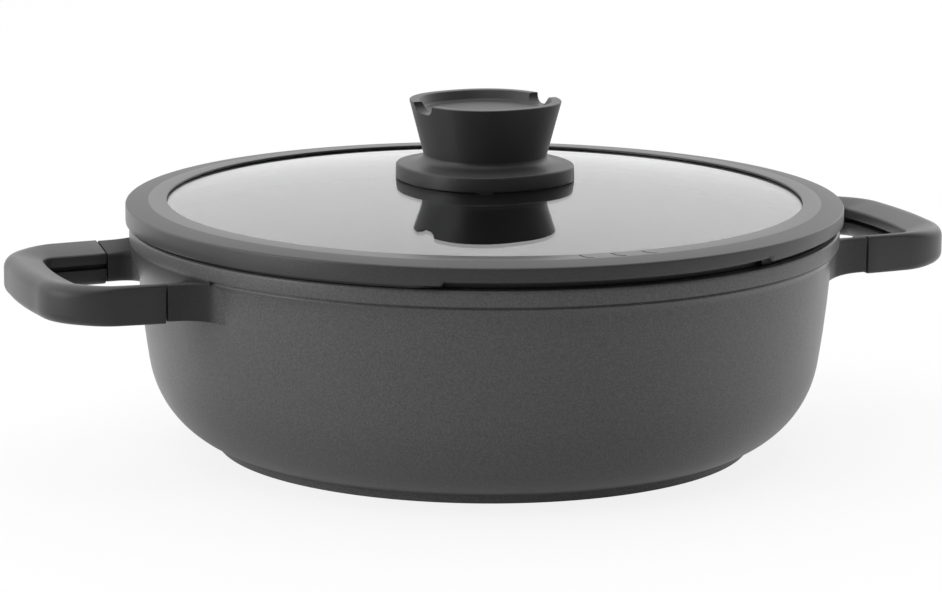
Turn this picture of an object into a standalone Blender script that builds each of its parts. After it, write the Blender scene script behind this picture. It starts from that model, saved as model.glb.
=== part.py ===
"""Deep saute pan, 28 cm: cast body with two loop handles in slit rubber grips, and a domed
glass lid with a rubber rim and a rubber-covered knob. Metres, +Z up. The origin is the middle
of the underside, the handles lie along X and the vent gap in the lid's rim faces -Y."""
import math

import bmesh
import bpy
from mathutils import Matrix, Vector

MM = 0.001
GAP = 0.3 * MM            # clearance kept between pieces that touch
STEPS = 56                # facets round every large turned piece
SMALL_STEPS = 24          # facets round the small hardware

# Pan body
BODY_H = 91.6 * MM            # top of the pan's rim above the ground
MOUTH_R = 140.5 * MM
COLLAR_W = 5.3 * MM           # from the mouth to the collar's outer face
COLLAR_R = MOUTH_R + COLLAR_W
COLLAR_H = 6.3 * MM
COLLAR_EDGE = 0.5 * MM
COLLAR_STEP = 2.9 * MM        # from the collar's face in to the wall
COLLAR_GROOVE = 2.3 * MM      # depth of the shadow groove under the collar
COLLAR_GROOVE_H = 0.7 * MM
SHOULDER_STEP = 1.3 * MM      # from the collar's face in to the small shoulder below the groove
SHOULDER_H = 0.9 * MM
SHOULDER_RUN = 1.9 * MM       # the shoulder runs out into the wall over this height
SEAT_DEPTH = 5.6 * MM         # straight part of the mouth that takes the lid's plug
SEAT_RUN = 1.4 * MM
WALL_T = 3.9 * MM
WALL_TAPER = 4.9 * MM         # the wall is this much narrower at the knee than at the top
WALL_BELLY = 0.7 * MM         # and bulges this far out of the straight line between them
KNEE_Z = 36.5 * MM            # the wall turns in to the foot below this height
KNEE_T = 5.6 * MM             # the casting is thicker in the corner
KNEE_PULL = 18.0 * MM         # how far the wall's direction is held below the knee
FOOT_PULL = 12.0 * MM         # and outward from the foot
FOOT_ANGLE = 20.0             # degrees above level at which the curve leaves the foot
INNER_CORNER_R = 30.0 * MM
FLOOR_T = 5.5 * MM            # cast floor over the steel disc
FOOT_R = 110.4 * MM
FOOT_H = 3.5 * MM
FOOT_OVERHANG = 1.9 * MM      # the wall's curve ends this far outside the foot
FOOT_GROOVE = 0.3 * MM
FOOT_EDGE = 0.4 * MM

# Steel disc pressed into the underside
FOOT_RING_W = 10.1 * MM       # cast ring left round the disc
DISC_R = FOOT_R - FOOT_RING_W - GAP
DISC_T = 1.0 * MM
FLOOR_TOP_Z = DISC_T + GAP + FLOOR_T

# Loop handles, plan view of one side
LOOP_OUT = 52.4 * MM          # outermost point of the grip from the collar
LOOP_BOW = 3.26 * MM          # how far the end bar bows outward over its length
LOOP_W = 16.0 * MM            # width of an arm
BAR_W = 16.0 * MM             # width of the end bar
HOLE_HALF_W = 33.25 * MM      # half the finger gap's width at the seam
ARM_FLARE = 0.05              # the arms open towards the pan by this much per unit of length
INNER_CORNER = 6.0 * MM
OUTER_CORNER = 26.0 * MM
SEAM_OUT = 6.1 * MM           # seam between the casting and the grip, from the collar
LOOP_REACH = COLLAR_R + LOOP_OUT
SEAM_X = COLLAR_R + SEAM_OUT
BAR_INNER_X = LOOP_REACH - LOOP_BOW - BAR_W
BOW_SPAN = HOLE_HALF_W

# Section of a loop: the top face is dished towards the finger gap
LOOP_TOP_Z = BODY_H - 7.0 * MM
LOOP_DISH = 3.0 * MM          # the top face falls this much to the finger gap
LOOP_H = 15.9 * MM
GRIP_TOP_R = 5.0 * MM         # outer top edge at the corners and along the end bar
GRIP_BOTTOM_R = 4.6 * MM
GRIP_PALM_R = 5.0 * MM        # under the edge that the fingers pull against
SEAM_EDGE_SHARE = 0.26        # the same edges at the seam, as a share of their size at the bar
GRIP_INNER_EDGE = 0.9 * MM
GRIP_T = 2.6 * MM             # rubber thickness
CORE_EDGE = 1.1 * MM
SLIT_UP = 7.2 * MM            # middle of the slit above the grip's underside
SLIT_H = 1.7 * MM
LOOP_BOTTOM_Z = LOOP_TOP_Z - LOOP_H
CORE_OVERLAP = 6.0 * MM       # how far the core bar is drawn back into the lug

# Lugs: where the casting runs out to the seam
LUG_LIFT = 0.7 * MM           # the lug stops this much above the grip's underside
LUG_INSET = 0.25 * MM         # the grip stands this much proud of the lug
LUG_SINK = 1.2 * MM           # how far its root is drawn into the wall
LUG_FLARE_IN = 6.5 * MM
LUG_FLARE_OUT = 8.7 * MM
LUG_ROOT_DROP = 1.8 * MM
LUG_STEPS = (0.0, 0.1, 0.26, 0.5, 1.0)

# Web: between the lugs the collar's face runs down into the wall
WEB_PROUD = 0.05 * MM         # keeps its face clear of the collar's own face
WEB_UP = 3.0 * MM             # the web starts this much above the collar's lower edge
WEB_TURN = 1.2 * MM           # and turns in towards the wall this much above that edge
WEB_HALF_ANGLE = 21.0
WEB_STEP = 360 / STEPS        # as the body's own facets

# Lid rim, rubber ring in section
RIM_OVERHANG = 1.5 * MM       # beyond the collar
RIM_W = 16.9 * MM             # from the outer face in to the lip on the glass
RIM_FACET_W = 9.3 * MM        # outer facet
RIM_UP = 9.2 * MM             # outer top edge above the pan's rim
RIM_SKIRT_UP = 1.85 * MM      # bottom of the upright outer face above the pan's rim
RIM_SKIRT_T = 2.4 * MM        # level underside of that face, in shadow over the collar
RIM_OUTER_FALL = 1.05 * MM
RIM_INNER_FALL = 0.35 * MM
RIM_EDGE = 0.7 * MM
RIM_BACK = 9.2 * MM           # rubber outside the glass's edge
RIM_COVER = 1.65 * MM         # rubber over the glass's edge
RIM_SEAT_INSET = 1.2 * MM     # the seat ends this far inside the collar's face
RIM_UNDER_LIP_SETBACK = 1.6 * MM
RIM_UNDER_LIP_T = 1.9 * MM
PLUG_PLAY = 0.7 * MM          # between the plug and the mouth
PLUG_T = 2.9 * MM
PLUG_DEPTH = 4.9 * MM
PLUG_EDGE = 0.5 * MM
VENT_HALF_ANGLE = 28.05       # degrees each way from -Y
VENT_RISE = 1.4 * MM
VENT_BEVEL_H = 1.65 * MM
VENT_BEVEL = 0.6 * MM
VENT_STEPS = 12
RIM_R = COLLAR_R + RIM_OVERHANG
RIM_LIP_R = RIM_R - RIM_W
RIM_FACET_R = RIM_R - RIM_FACET_W
RIM_TOP_Z = BODY_H + RIM_UP
RIM_FACET_Z = RIM_TOP_Z + RIM_OUTER_FALL
RIM_LIP_Z = RIM_FACET_Z + RIM_INNER_FALL
RIM_SEAT_Z = BODY_H + GAP

# Lid glass
GLASS_DOME_R = 930.0 * MM
GLASS_T = 3.2 * MM
GLASS_HOLE_R = 5.0 * MM
GLASS_EDGE = 0.6 * MM
GLASS_STEPS = (0.32, 0.61, 0.85)    # shares of the radius where the dome has a ring of facets
GLASS_R = RIM_R - RIM_BACK
GLASS_APEX_Z = RIM_FACET_Z - RIM_COVER + GLASS_DOME_R - math.sqrt(GLASS_DOME_R ** 2 - GLASS_R ** 2)

# Knob: rounded-square plan |x|^n + |y|^n
KNOB_N = 2.3
KNOB_TURN = 8.8               # degrees about Z
KNOB_ANGLES = 36
FLANGE_A = 35.4 * MM          # half size of the flange
FLANGE_H = 5.8 * MM
FLANGE_EDGE = 0.8 * MM
FLANGE_DRAFT = 0.2 * MM
FLANGE_RIM_W = 4.6 * MM       # rubber outside the core's flange
KNOB_H = 32.0 * MM
KNOB_TOP_A = 30.1 * MM
KNOB_NECK_A = 24.9 * MM
NECK_UP = 5.4 * MM            # neck above the flange's top
NECK_FILLET = 3.6 * MM
KNOB_WALL = 3.8 * MM          # rubber wall round the dish at the top
KNOB_EDGE = 0.4 * MM
DISH_DEPTH = 4.1 * MM
DISH_FILLET = 1.8 * MM
DISH_DRAFT = 1.2 * MM
NOTCH_W = 15.0 * MM
NOTCH_R = 3.9 * MM
NOTCH_FLOOR_STEP = 0.15 * MM
GRIP_CAP_T = 3.2 * MM         # rubber over the top of the core
GRIP_SKIN_T = 3.1 * MM        # rubber round the side of the core
CORE_FLANGE_T = 2.0 * MM
CORE_RAISE = 1.2 * MM         # core's underside above the rubber's
CORE_FLANGE_A = FLANGE_A - FLANGE_RIM_W

# Hardware on the lid's axis, M5
SCREW_R = 2.2 * MM
SCREW_EDGE = 0.5 * MM
SCREW_HEAD_R = 4.6 * MM
SCREW_HEAD_H = 2.8 * MM
SCREW_DOME_H = 1.4 * MM
SCREW_REACH = 11.0 * MM       # thread inside the insert
RECESS_ARM = 2.6 * MM
RECESS_W = 1.0 * MM
RECESS_DEPTH = 1.5 * MM
INSERT_WALL = 1.7 * MM
INSERT_L = 12.0 * MM
GASKET_W = 7.4 * MM
GASKET_T = 1.5 * MM
GASKET_POCKET_GAP = 1.0 * MM
BUSH_FLANGE_W = 4.3 * MM
BUSH_FLANGE_T = 1.5 * MM
WASHER_R = 8.0 * MM
WASHER_T = 1.0 * MM
BORE_R = SCREW_R + GAP        # bore of each ring on the screw
INSERT_R = BORE_R + INSERT_WALL
BUSH_R = GLASS_HOLE_R - GAP
GASKET_INNER_R = GLASS_HOLE_R + 2 * GAP

for old in list(bpy.data.objects):
    bpy.data.objects.remove(old, do_unlink=True)
for old in list(bpy.data.collections):
    bpy.data.collections.remove(old)

parts = bpy.data.collections.new("deep_saute_pan")
cutters = bpy.data.collections.new("cutters")
for group in (parts, cutters):
    bpy.context.scene.collection.children.link(group)


def material(name, colour, roughness, metallic=0.0, alpha=1.0):
    mat = bpy.data.materials.new(name)
    mat.use_nodes = True
    shader = mat.node_tree.nodes["Principled BSDF"]
    shader.inputs["Base Color"].default_value = (*colour, 1.0)
    shader.inputs["Roughness"].default_value = roughness
    shader.inputs["Metallic"].default_value = metallic
    shader.inputs["Alpha"].default_value = alpha
    mat.diffuse_color = (*colour, alpha)
    return mat


def add_object(name, mesh, mat, group=parts):
    obj = bpy.data.objects.new(name, mesh)
    group.objects.link(obj)
    if mat:
        mesh.materials.append(mat)
    if group is cutters:
        obj.hide_render = True
        obj.display_type = "WIRE"
    return obj


def baked(obj):
    """Replace an object's mesh by the result of its modifiers."""
    bpy.context.view_layer.update()
    result = bpy.data.meshes.new_from_object(obj.evaluated_get(bpy.context.evaluated_depsgraph_get()))
    obj.modifiers.clear()
    obj.data = result
    return obj


def tidy_normals(mesh):
    bm = bmesh.new()
    bm.from_mesh(mesh)
    bmesh.ops.remove_doubles(bm, verts=bm.verts, dist=1e-6)
    bmesh.ops.recalc_face_normals(bm, faces=bm.faces)
    bm.to_mesh(mesh)
    bm.free()


def turned(name, profile, mat, steps=STEPS, group=parts, closed=False):
    """Turn an outline of (radius, height) about Z. A closed outline makes a ring."""
    mesh = bpy.data.meshes.new(name)
    count = len(profile)
    edges = [(i, i + 1) for i in range(count - 1)]
    if closed:
        edges.append((count - 1, 0))
    mesh.from_pydata([(r, 0.0, z) for r, z in profile], edges, [])
    obj = add_object(name, mesh, mat, group)
    screw = obj.modifiers.new("turn", "SCREW")
    screw.axis = "Z"
    screw.steps = screw.render_steps = steps
    screw.use_merge_vertices = True
    screw.merge_threshold = 0.00001
    screw.use_normal_calculate = True
    screw.use_smooth_shade = False
    baked(obj)
    tidy_normals(obj.data)
    return obj


def lofted(name, rings, mat, group=parts):
    """Skin a row of closed outlines and cap both ends."""
    mesh = bpy.data.meshes.new(name)
    count = len(rings[0])
    verts = [tuple(p) for ring in rings for p in ring]
    faces = []
    for k in range(len(rings) - 1):
        for i in range(count):
            j = (i + 1) % count
            faces.append((k * count + i, k * count + j, (k + 1) * count + j, (k + 1) * count + i))
    faces.append(tuple(range(count)))
    faces.append(tuple(range((len(rings) - 1) * count, len(rings) * count)))
    mesh.from_pydata(verts, [], faces)
    tidy_normals(mesh)
    return add_object(name, mesh, mat, group)


def boolean(obj, other, operation):
    mod = obj.modifiers.new(operation.lower(), "BOOLEAN")
    mod.operation = operation
    mod.solver = "EXACT"
    mod.object = other
    baked(obj)
    tidy_normals(obj.data)
    return obj


def arc(cx, cz, radius, start, end, count):
    """Points of an arc in a section, angles in degrees."""
    out = []
    for i in range(count + 1):
        a = math.radians(start + (end - start) * i / count)
        out.append((cx + radius * math.cos(a), cz + radius * math.sin(a)))
    return out


# Materials
cast = material("cast_coated", (0.1, 0.1, 0.102), 0.45, 0.2)
steel = material("steel", (0.55, 0.55, 0.56), 0.35, 1.0)
rubber = material("grip_rubber", (0.04, 0.04, 0.041), 0.5)
rim_rubber = material("rim_rubber", (0.052, 0.052, 0.053), 0.5)
glass = material("lid_glass", (0.75, 0.77, 0.78), 0.05, 0.0, 0.4)
phenolic = material("phenolic", (0.03, 0.03, 0.03), 0.5)
brass = material("brass", (0.72, 0.55, 0.25), 0.35, 1.0)
clear_rubber = material("seal_rubber", (0.7, 0.7, 0.68), 0.6)
white_plastic = material("bushing_plastic", (0.8, 0.8, 0.78), 0.5)


# Pan body: one turned casting with the two loops joined on
def wall_outer(z):
    """Radius of the wall's outside between the knee and the collar."""
    share = (z - KNEE_Z) / (BODY_H - COLLAR_H - KNEE_Z)
    top = COLLAR_R - COLLAR_STEP
    return top - WALL_TAPER * (1.0 - share) + WALL_BELLY * 4.0 * share * (1.0 - share)


def wall_inner(z):
    return wall_outer(z) - WALL_T


def knee_curve(count):
    """From the knee in to the foot, the knee itself left out."""
    knee = Vector((wall_outer(KNEE_Z), KNEE_Z))
    foot = Vector((FOOT_R + FOOT_OVERHANG, FOOT_H + FOOT_GROOVE))
    lean = (WALL_TAPER + 4.0 * WALL_BELLY) / (BODY_H - COLLAR_H - KNEE_Z)
    down = Vector((lean, 1.0)).normalized()
    angle = math.radians(FOOT_ANGLE)
    a, b = knee - down * KNEE_PULL, foot + Vector((math.cos(angle), math.sin(angle))) * FOOT_PULL
    out = []
    for i in range(1, count + 1):
        t = i / count
        p = knee * (1 - t) ** 3 + a * 3 * (1 - t) ** 2 * t + b * 3 * (1 - t) * t ** 2 + foot * t ** 3
        out.append((p.x, p.y))
    return out


def between(low, high, shares):
    return [low + (high - low) * share for share in shares]


def pan_profile():
    ledge_z = BODY_H - SEAT_DEPTH
    collar_z = BODY_H - COLLAR_H
    corner_z = FLOOR_TOP_Z + INNER_CORNER_R
    corner_x = wall_outer(KNEE_Z) - KNEE_T - INNER_CORNER_R
    shoulder_r = COLLAR_R - SHOULDER_STEP
    shoulder_z = collar_z - COLLAR_GROOVE_H
    groove_r = COLLAR_R - COLLAR_GROOVE
    wall_z = shoulder_z - SHOULDER_H - SHOULDER_RUN
    pts = [(0.0, FLOOR_TOP_Z)]
    pts += arc(corner_x, corner_z, INNER_CORNER_R, 270, 360, 6)
    pts += [(wall_inner(z), z) for z in between(corner_z, ledge_z, (0.33, 0.68))]
    pts += [(wall_inner(ledge_z), ledge_z - SEAT_RUN), (MOUTH_R, ledge_z)]
    pts += [(MOUTH_R, BODY_H - COLLAR_EDGE), (MOUTH_R + COLLAR_EDGE, BODY_H)]
    pts += [(COLLAR_R - COLLAR_EDGE, BODY_H), (COLLAR_R, BODY_H - COLLAR_EDGE)]
    pts += [(COLLAR_R, collar_z + COLLAR_EDGE), (COLLAR_R - COLLAR_EDGE, collar_z)]
    pts += [(groove_r, collar_z), (groove_r, shoulder_z), (shoulder_r, shoulder_z - SHOULDER_H / 2)]
    pts += [(shoulder_r, shoulder_z - SHOULDER_H), (wall_outer(wall_z), wall_z)]
    pts += [(wall_outer(z), z) for z in between(wall_z, KNEE_Z, (0.5, 1.0))]
    pts += knee_curve(6)
    pts += [(FOOT_R, FOOT_H), (FOOT_R, FOOT_EDGE), (FOOT_R - FOOT_EDGE, 0.0)]
    pts += [(DISC_R + GAP, 0.0), (DISC_R + GAP, DISC_T + GAP), (0.0, DISC_T + GAP)]
    return pts


# Loop handles: outlines in plan
def inner_y(x):
    return HOLE_HALF_W + (SEAM_X - x) * ARM_FLARE


def outer_y(x):
    return inner_y(x) + LOOP_W


def bow(y):
    return LOOP_BOW * (1.0 - (y / BOW_SPAN) ** 2)


def corner_centre(bar_x, side_y, radius):
    """Middle of the corner arc between the bar's face and an arm's face."""
    y = side_y(bar_x) - radius
    x = bar_x + bow(y) - radius
    return x, side_y(x) - radius


CORNER_TURNS = (90, 75, 60, 45, 30, 15, 2)


def loop_stations(start_x):
    """Pairs of inner and outer points round the loop, from one seam to the other."""
    bar_outer_x = BAR_INNER_X + BAR_W
    cix, ciy = corner_centre(BAR_INNER_X, inner_y, INNER_CORNER)
    cox, coy = corner_centre(bar_outer_x, outer_y, OUTER_CORNER)
    half = [((start_x, inner_y(start_x)), (start_x, outer_y(start_x)))]
    mid_x = (start_x + cox) / 2
    half.append(((mid_x, inner_y(mid_x)), (mid_x, outer_y(mid_x))))
    for deg in CORNER_TURNS:
        a = math.radians(deg)
        half.append(((cix + INNER_CORNER * math.cos(a), ciy + INNER_CORNER * math.sin(a)),
                     (cox + OUTER_CORNER * math.cos(a), coy + OUTER_CORNER * math.sin(a))))
    for t in (0.6, 0.2):
        half.append(((BAR_INNER_X + bow(ciy * t), ciy * t), (bar_outer_x + bow(coy * t), coy * t)))
    other = [((i[0], -i[1]), (o[0], -o[1])) for i, o in reversed(half)]
    return half + other


def sweep(name, stations, sections, mat, side, group=parts):
    """Carry sections of (distance from the inner face, height) along pairs of points."""
    rings = []
    for ((ix, iy), (ox, oy)), section in zip(stations, sections):
        inner, outer = Vector((ix, iy)), Vector((ox, oy))
        across = outer - inner
        width = across.length
        across.normalize()
        ring = []
        for u, z in section:
            d = u if u < LOOP_W / 2 else width - (LOOP_W - u)
            p = inner + across * d
            ring.append((side * p.x, p.y, z))
        rings.append(ring)
    return lofted(name, rings, mat, group)


def top_line(u):
    """Height of the dished top face at a distance from the inner face."""
    return LOOP_TOP_Z - LOOP_DISH * (1.0 - min(u / (LOOP_W - GRIP_TOP_R), 1.0))


def outer_skin(bottom, share, lower=0.0):
    """Outside of the section from the inner face's top edge round to its bottom edge. The outer
    edges and the palm edge are rounded to a share of their full size."""
    e = GRIP_INNER_EDGE
    top_r, bottom_r, palm_r = GRIP_TOP_R * share, GRIP_BOTTOM_R * share, GRIP_PALM_R * (0.5 + share / 2)
    high = LOOP_TOP_Z - lower
    pts = [(0.0, top_line(0.0) - lower - e), (e * 0.35, top_line(e * 0.35) - lower - e * 0.35),
           (e, top_line(e) - lower)]
    pts += arc(LOOP_W - top_r, high - top_r, top_r, 90, 0, 4)
    pts += arc(LOOP_W - bottom_r, bottom + bottom_r, bottom_r, 0, -90, 3)
    pts += arc(palm_r, bottom + palm_r, palm_r, 270, 180, 3)
    return pts


def edge_shares(count):
    """How full the rounding is at each station of a loop: least at the seams, full along the bar."""
    corner = len(CORNER_TURNS) // 2 + 2
    out = []
    for k in range(count):
        t = min(min(k, count - 1 - k) / corner, 1.0)
        out.append(SEAM_EDGE_SHARE + (1.0 - SEAM_EDGE_SHARE) * t * t * (3 - 2 * t))
    return out


def core_section(inset):
    """The bar inside the grip, set in from the outer skin."""
    c = CORE_EDGE
    low, high = LOOP_BOTTOM_Z + inset, top_line(inset) - inset
    right = LOOP_W - inset
    shoulder = right - GRIP_TOP_R / 2
    pts = [(inset, high - c), (inset + c, top_line(inset + c) - inset)]
    pts += [(shoulder, top_line(shoulder) - inset), (right, LOOP_TOP_Z - GRIP_TOP_R)]
    return pts + [(right, low + c), (right - c, low), (inset + c, low), (inset, low + c)]


def grip_section(share):
    skin = outer_skin(LOOP_BOTTOM_Z, share)
    hollow = core_section(GRIP_T)
    slit_z = LOOP_BOTTOM_Z + SLIT_UP
    up, down = slit_z + SLIT_H / 2, slit_z - SLIT_H / 2
    return [(0.0, up)] + skin + [(0.0, down), (GRIP_T, down)] + hollow[::-1] + [(GRIP_T, up)]


def lug_stations():
    """From inside the wall out to the seam, opening into the wall with a hollow curve."""
    seam = SEAM_X - GAP
    root = wall_outer(LOOP_BOTTOM_Z) - LUG_SINK
    y_in, y_out = inner_y(root) - LUG_FLARE_IN, outer_y(root) + LUG_FLARE_OUT
    x_in, x_out = math.sqrt(root ** 2 - y_in ** 2), math.sqrt(root ** 2 - y_out ** 2)
    stations, sections = [], []
    for t in LUG_STEPS:
        t_out = t ** 0.75
        xi, xo = x_in + (seam - x_in) * t, x_out + (seam - x_out) * t_out
        stations.append(((xi, inner_y(xi) + LUG_INSET - LUG_FLARE_IN * (1 - t) ** 4.5),
                         (xo, outer_y(xo) - LUG_INSET + LUG_FLARE_OUT * (1 - t_out) ** 2.8)))
        sections.append(outer_skin(LOOP_BOTTOM_Z + LUG_LIFT - LUG_ROOT_DROP * (1 - t_out) ** 2.8,
                                   SEAM_EDGE_SHARE, LUG_INSET))
    return stations, sections


def ring_sector(name, section, middle, half, step):
    """Carry a closed section of (radius, height) round part of a circle. Facets keep whole steps."""
    turns = [-half] + [k * step for k in range(math.ceil(-half / step), math.floor(half / step) + 1)] + [half]
    rings = []
    for turn in turns:
        a = math.radians(middle + turn)
        rings.append([(r * math.cos(a), r * math.sin(a), z) for r, z in section])
    return lofted(name, rings, None, cutters)


def web_section():
    """From inside the collar out to its face, and down to the wall at the lugs' underside."""
    collar_z = BODY_H - COLLAR_H
    face, low = COLLAR_R + WEB_PROUD, LOOP_BOTTOM_Z + LUG_LIFT
    deep = WALL_T / 2
    turn = collar_z + WEB_TURN
    return [(MOUTH_R + COLLAR_EDGE, collar_z + WEB_UP), (face, collar_z + WEB_UP), (face, turn),
            (face - COLLAR_EDGE / 2, turn - 2 * WEB_TURN), (wall_outer(low), low),
            (wall_outer(low) - deep, low - deep), (wall_outer(collar_z) - deep, collar_z)]


body = turned("pan_body", pan_profile(), cast)
for side in (1, -1):
    stations = loop_stations(SEAM_X - CORE_OVERLAP)
    sections = [core_section(GRIP_T + GAP)] * len(stations)
    core = sweep("core_%d" % side, stations, sections, None, side, cutters)
    for flip in (1, -1):
        stations, sections = lug_stations()
        stations = [((i[0], flip * i[1]), (o[0], flip * o[1])) for i, o in stations]
        lug = sweep("lug_%d_%d" % (side, flip), stations, sections, None, side, cutters)
        boolean(core, lug, "UNION")
    web = ring_sector("web_%d" % side, web_section(), 90 - 90 * side, WEB_HALF_ANGLE, WEB_STEP)
    boolean(core, web, "UNION")
    boolean(body, core, "UNION")
    stations = loop_stations(SEAM_X)
    grip = "right_handle_grip" if side == 1 else "left_handle_grip"
    sweep(grip, stations, [grip_section(share) for share in edge_shares(len(stations))], rubber, side)

turned("induction_base_disc", [(0.0, DISC_T), (DISC_R, DISC_T), (DISC_R, 0.0), (0.0, 0.0)], steel)


# Lid
def dome(r, under=0.0):
    return GLASS_APEX_Z - under - (GLASS_DOME_R - math.sqrt(GLASS_DOME_R ** 2 - r ** 2))


def glass_profile():
    edge = GLASS_R - GLASS_EDGE
    radii = [GLASS_HOLE_R] + [GLASS_R * share for share in GLASS_STEPS] + [edge]
    top = [(r, dome(r)) for r in radii] + [(GLASS_R, dome(GLASS_R) - GLASS_EDGE)]
    under = [(r, dome(r, GLASS_T)) for r in reversed(radii)]
    return top + [(GLASS_R, dome(GLASS_R, GLASS_T) + GLASS_EDGE)] + under


turned("lid_glass", glass_profile(), glass, closed=True)


def rim_profile():
    """Section of the rim: two facets on top, an upright face, a seat, a plug and a groove."""
    groove_r = GLASS_R + GAP
    bite = RIM_LIP_R + RIM_UNDER_LIP_SETBACK
    skirt_z = BODY_H + RIM_SKIRT_UP
    plug_r, plug_low = MOUTH_R - PLUG_PLAY, BODY_H - PLUG_DEPTH
    plug_in = plug_r - PLUG_T
    pts = [(RIM_LIP_R, RIM_LIP_Z), (RIM_FACET_R, RIM_FACET_Z)]
    pts += arc(RIM_R - RIM_EDGE, RIM_TOP_Z - RIM_EDGE, RIM_EDGE, 80, 0, 2)
    pts += [(RIM_R, skirt_z), (RIM_R - RIM_SKIRT_T, skirt_z), (COLLAR_R - RIM_SEAT_INSET, RIM_SEAT_Z),
            (plug_r + GAP, RIM_SEAT_Z),
            (plug_r, RIM_SEAT_Z - GAP), (plug_r, plug_low + PLUG_EDGE), (plug_r - PLUG_EDGE, plug_low),
            (plug_in + PLUG_EDGE, plug_low), (plug_in, plug_low + PLUG_EDGE), (plug_in, RIM_SEAT_Z),
            (bite, dome(bite, GLASS_T) - GAP - RIM_UNDER_LIP_T), (bite, dome(bite, GLASS_T) - GAP),
            (groove_r, dome(GLASS_R, GLASS_T) - GAP), (groove_r, dome(GLASS_R) + GAP),
            (RIM_LIP_R, dome(RIM_LIP_R) + GAP)]
    return pts


rim = turned("lid_rim", rim_profile(), rim_rubber, closed=True)


def vent_cutter():
    """Ring sector that lifts the seat and the skirt's lower edge over the vent."""
    inner, seat, outer = MOUTH_R - PLUG_PLAY + GAP / 2, COLLAR_R - RIM_SEAT_INSET, RIM_R + VENT_BEVEL
    low, beyond = RIM_SEAT_Z - 2 * GAP, outer + RIM_OVERHANG
    skirt_z = BODY_H + RIM_SKIRT_UP + VENT_RISE
    section = [(inner, low), (inner, RIM_SEAT_Z + VENT_RISE), (seat, RIM_SEAT_Z + VENT_RISE),
               (RIM_R - RIM_SKIRT_T, skirt_z),
               (RIM_R - VENT_BEVEL, skirt_z), (outer, skirt_z + 2 * VENT_BEVEL_H),
               (beyond, skirt_z + 2 * VENT_BEVEL_H), (beyond, low)]
    rings = []
    for k in range(VENT_STEPS + 1):
        a = math.radians(-90 + VENT_HALF_ANGLE * (2 * k / VENT_STEPS - 1))
        rings.append([(r * math.cos(a), r * math.sin(a), z) for r, z in section])
    return lofted("vent_cutter", rings, None, cutters)


boolean(rim, vent_cutter(), "DIFFERENCE")


# Knob
def squircle(a, angle):
    c, s = math.cos(angle), math.sin(angle)
    k = (abs(c) ** KNOB_N + abs(s) ** KNOB_N) ** (-1.0 / KNOB_N)
    return a * k * c, a * k * s


def squircle_body(name, profile, mat):
    """Skin an outline of (half size, height) that starts and ends on the axis."""
    bm = bmesh.new()
    turn = math.radians(KNOB_TURN)
    rows = []
    for a, z in profile:
        if a == 0.0:
            rows.append([bm.verts.new((0.0, 0.0, z))])
            continue
        row = []
        for k in range(KNOB_ANGLES):
            x, y = squircle(a, 2 * math.pi * k / KNOB_ANGLES)
            row.append(bm.verts.new((x * math.cos(turn) - y * math.sin(turn),
                                     x * math.sin(turn) + y * math.cos(turn), z)))
        rows.append(row)
    for upper, lower in zip(rows, rows[1:]):
        for k in range(KNOB_ANGLES):
            j = (k + 1) % KNOB_ANGLES
            if len(upper) == 1:
                bm.faces.new((upper[0], lower[k], lower[j]))
            elif len(lower) == 1:
                bm.faces.new((upper[k], lower[0], upper[j]))
            else:
                bm.faces.new((upper[k], lower[k], lower[j], upper[j]))
    bmesh.ops.recalc_face_normals(bm, faces=bm.faces)
    mesh = bpy.data.meshes.new(name)
    bm.to_mesh(mesh)
    bm.free()
    return add_object(name, mesh, mat)


FLANGE_Z = dome(CORE_FLANGE_A) + GAP
FLANGE_TOP_Z = FLANGE_Z + FLANGE_H
KNOB_TOP_Z = FLANGE_Z + KNOB_H
KNOB_NECK_Z = FLANGE_TOP_Z + NECK_UP
DISH_FLOOR_Z = KNOB_TOP_Z - DISH_DEPTH
CORE_BOTTOM_Z = FLANGE_Z + CORE_RAISE


def core_side(z):
    """Half size of the core's upright part: it widens upward, so the rubber can't slip off."""
    slope = (KNOB_TOP_A - KNOB_NECK_A) / (KNOB_TOP_Z - KNOB_NECK_Z)
    return KNOB_NECK_A + (z - KNOB_NECK_Z) * slope - GRIP_SKIN_T


def core_outline(grow):
    """Outside of the rigid core from its top centre down, grown by a clearance."""
    top = DISH_FLOOR_Z - GRIP_CAP_T - GAP + grow
    neck = FLANGE_TOP_Z + CORE_EDGE
    shelf = CORE_BOTTOM_Z + CORE_FLANGE_T
    return [(0.0, top), (core_side(top) - CORE_EDGE + grow, top), (core_side(top) + grow, top - CORE_EDGE),
            (core_side(neck) + grow, neck), (core_side(neck) + grow, shelf + grow),
            (CORE_FLANGE_A + grow, shelf + grow)]


def knob_grip_profile():
    top_in = KNOB_TOP_A - KNOB_WALL
    low_in = top_in - DISH_DRAFT
    flange = FLANGE_A - FLANGE_DRAFT
    pts = [(0.0, DISH_FLOOR_Z)]
    pts += arc(low_in - DISH_FILLET, DISH_FLOOR_Z + DISH_FILLET, DISH_FILLET, -90, 0, 3)
    pts += [(top_in, KNOB_TOP_Z - KNOB_EDGE), (top_in + KNOB_EDGE, KNOB_TOP_Z)]
    pts += [(KNOB_TOP_A - KNOB_EDGE, KNOB_TOP_Z), (KNOB_TOP_A, KNOB_TOP_Z - KNOB_EDGE)]
    pts += [(KNOB_NECK_A + NECK_FILLET * (1 - math.cos(math.radians(a))),
             KNOB_NECK_Z - NECK_FILLET * math.sin(math.radians(a))) for a in (0, 30, 60, 80)]
    pts += [(flange - FLANGE_EDGE, FLANGE_TOP_Z), (flange, FLANGE_TOP_Z - FLANGE_EDGE),
            (FLANGE_A, FLANGE_Z + GAP), (FLANGE_A - GAP, FLANGE_Z)]
    pts += [(CORE_FLANGE_A + GAP, FLANGE_Z)]
    return pts + core_outline(GAP)[::-1]


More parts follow.
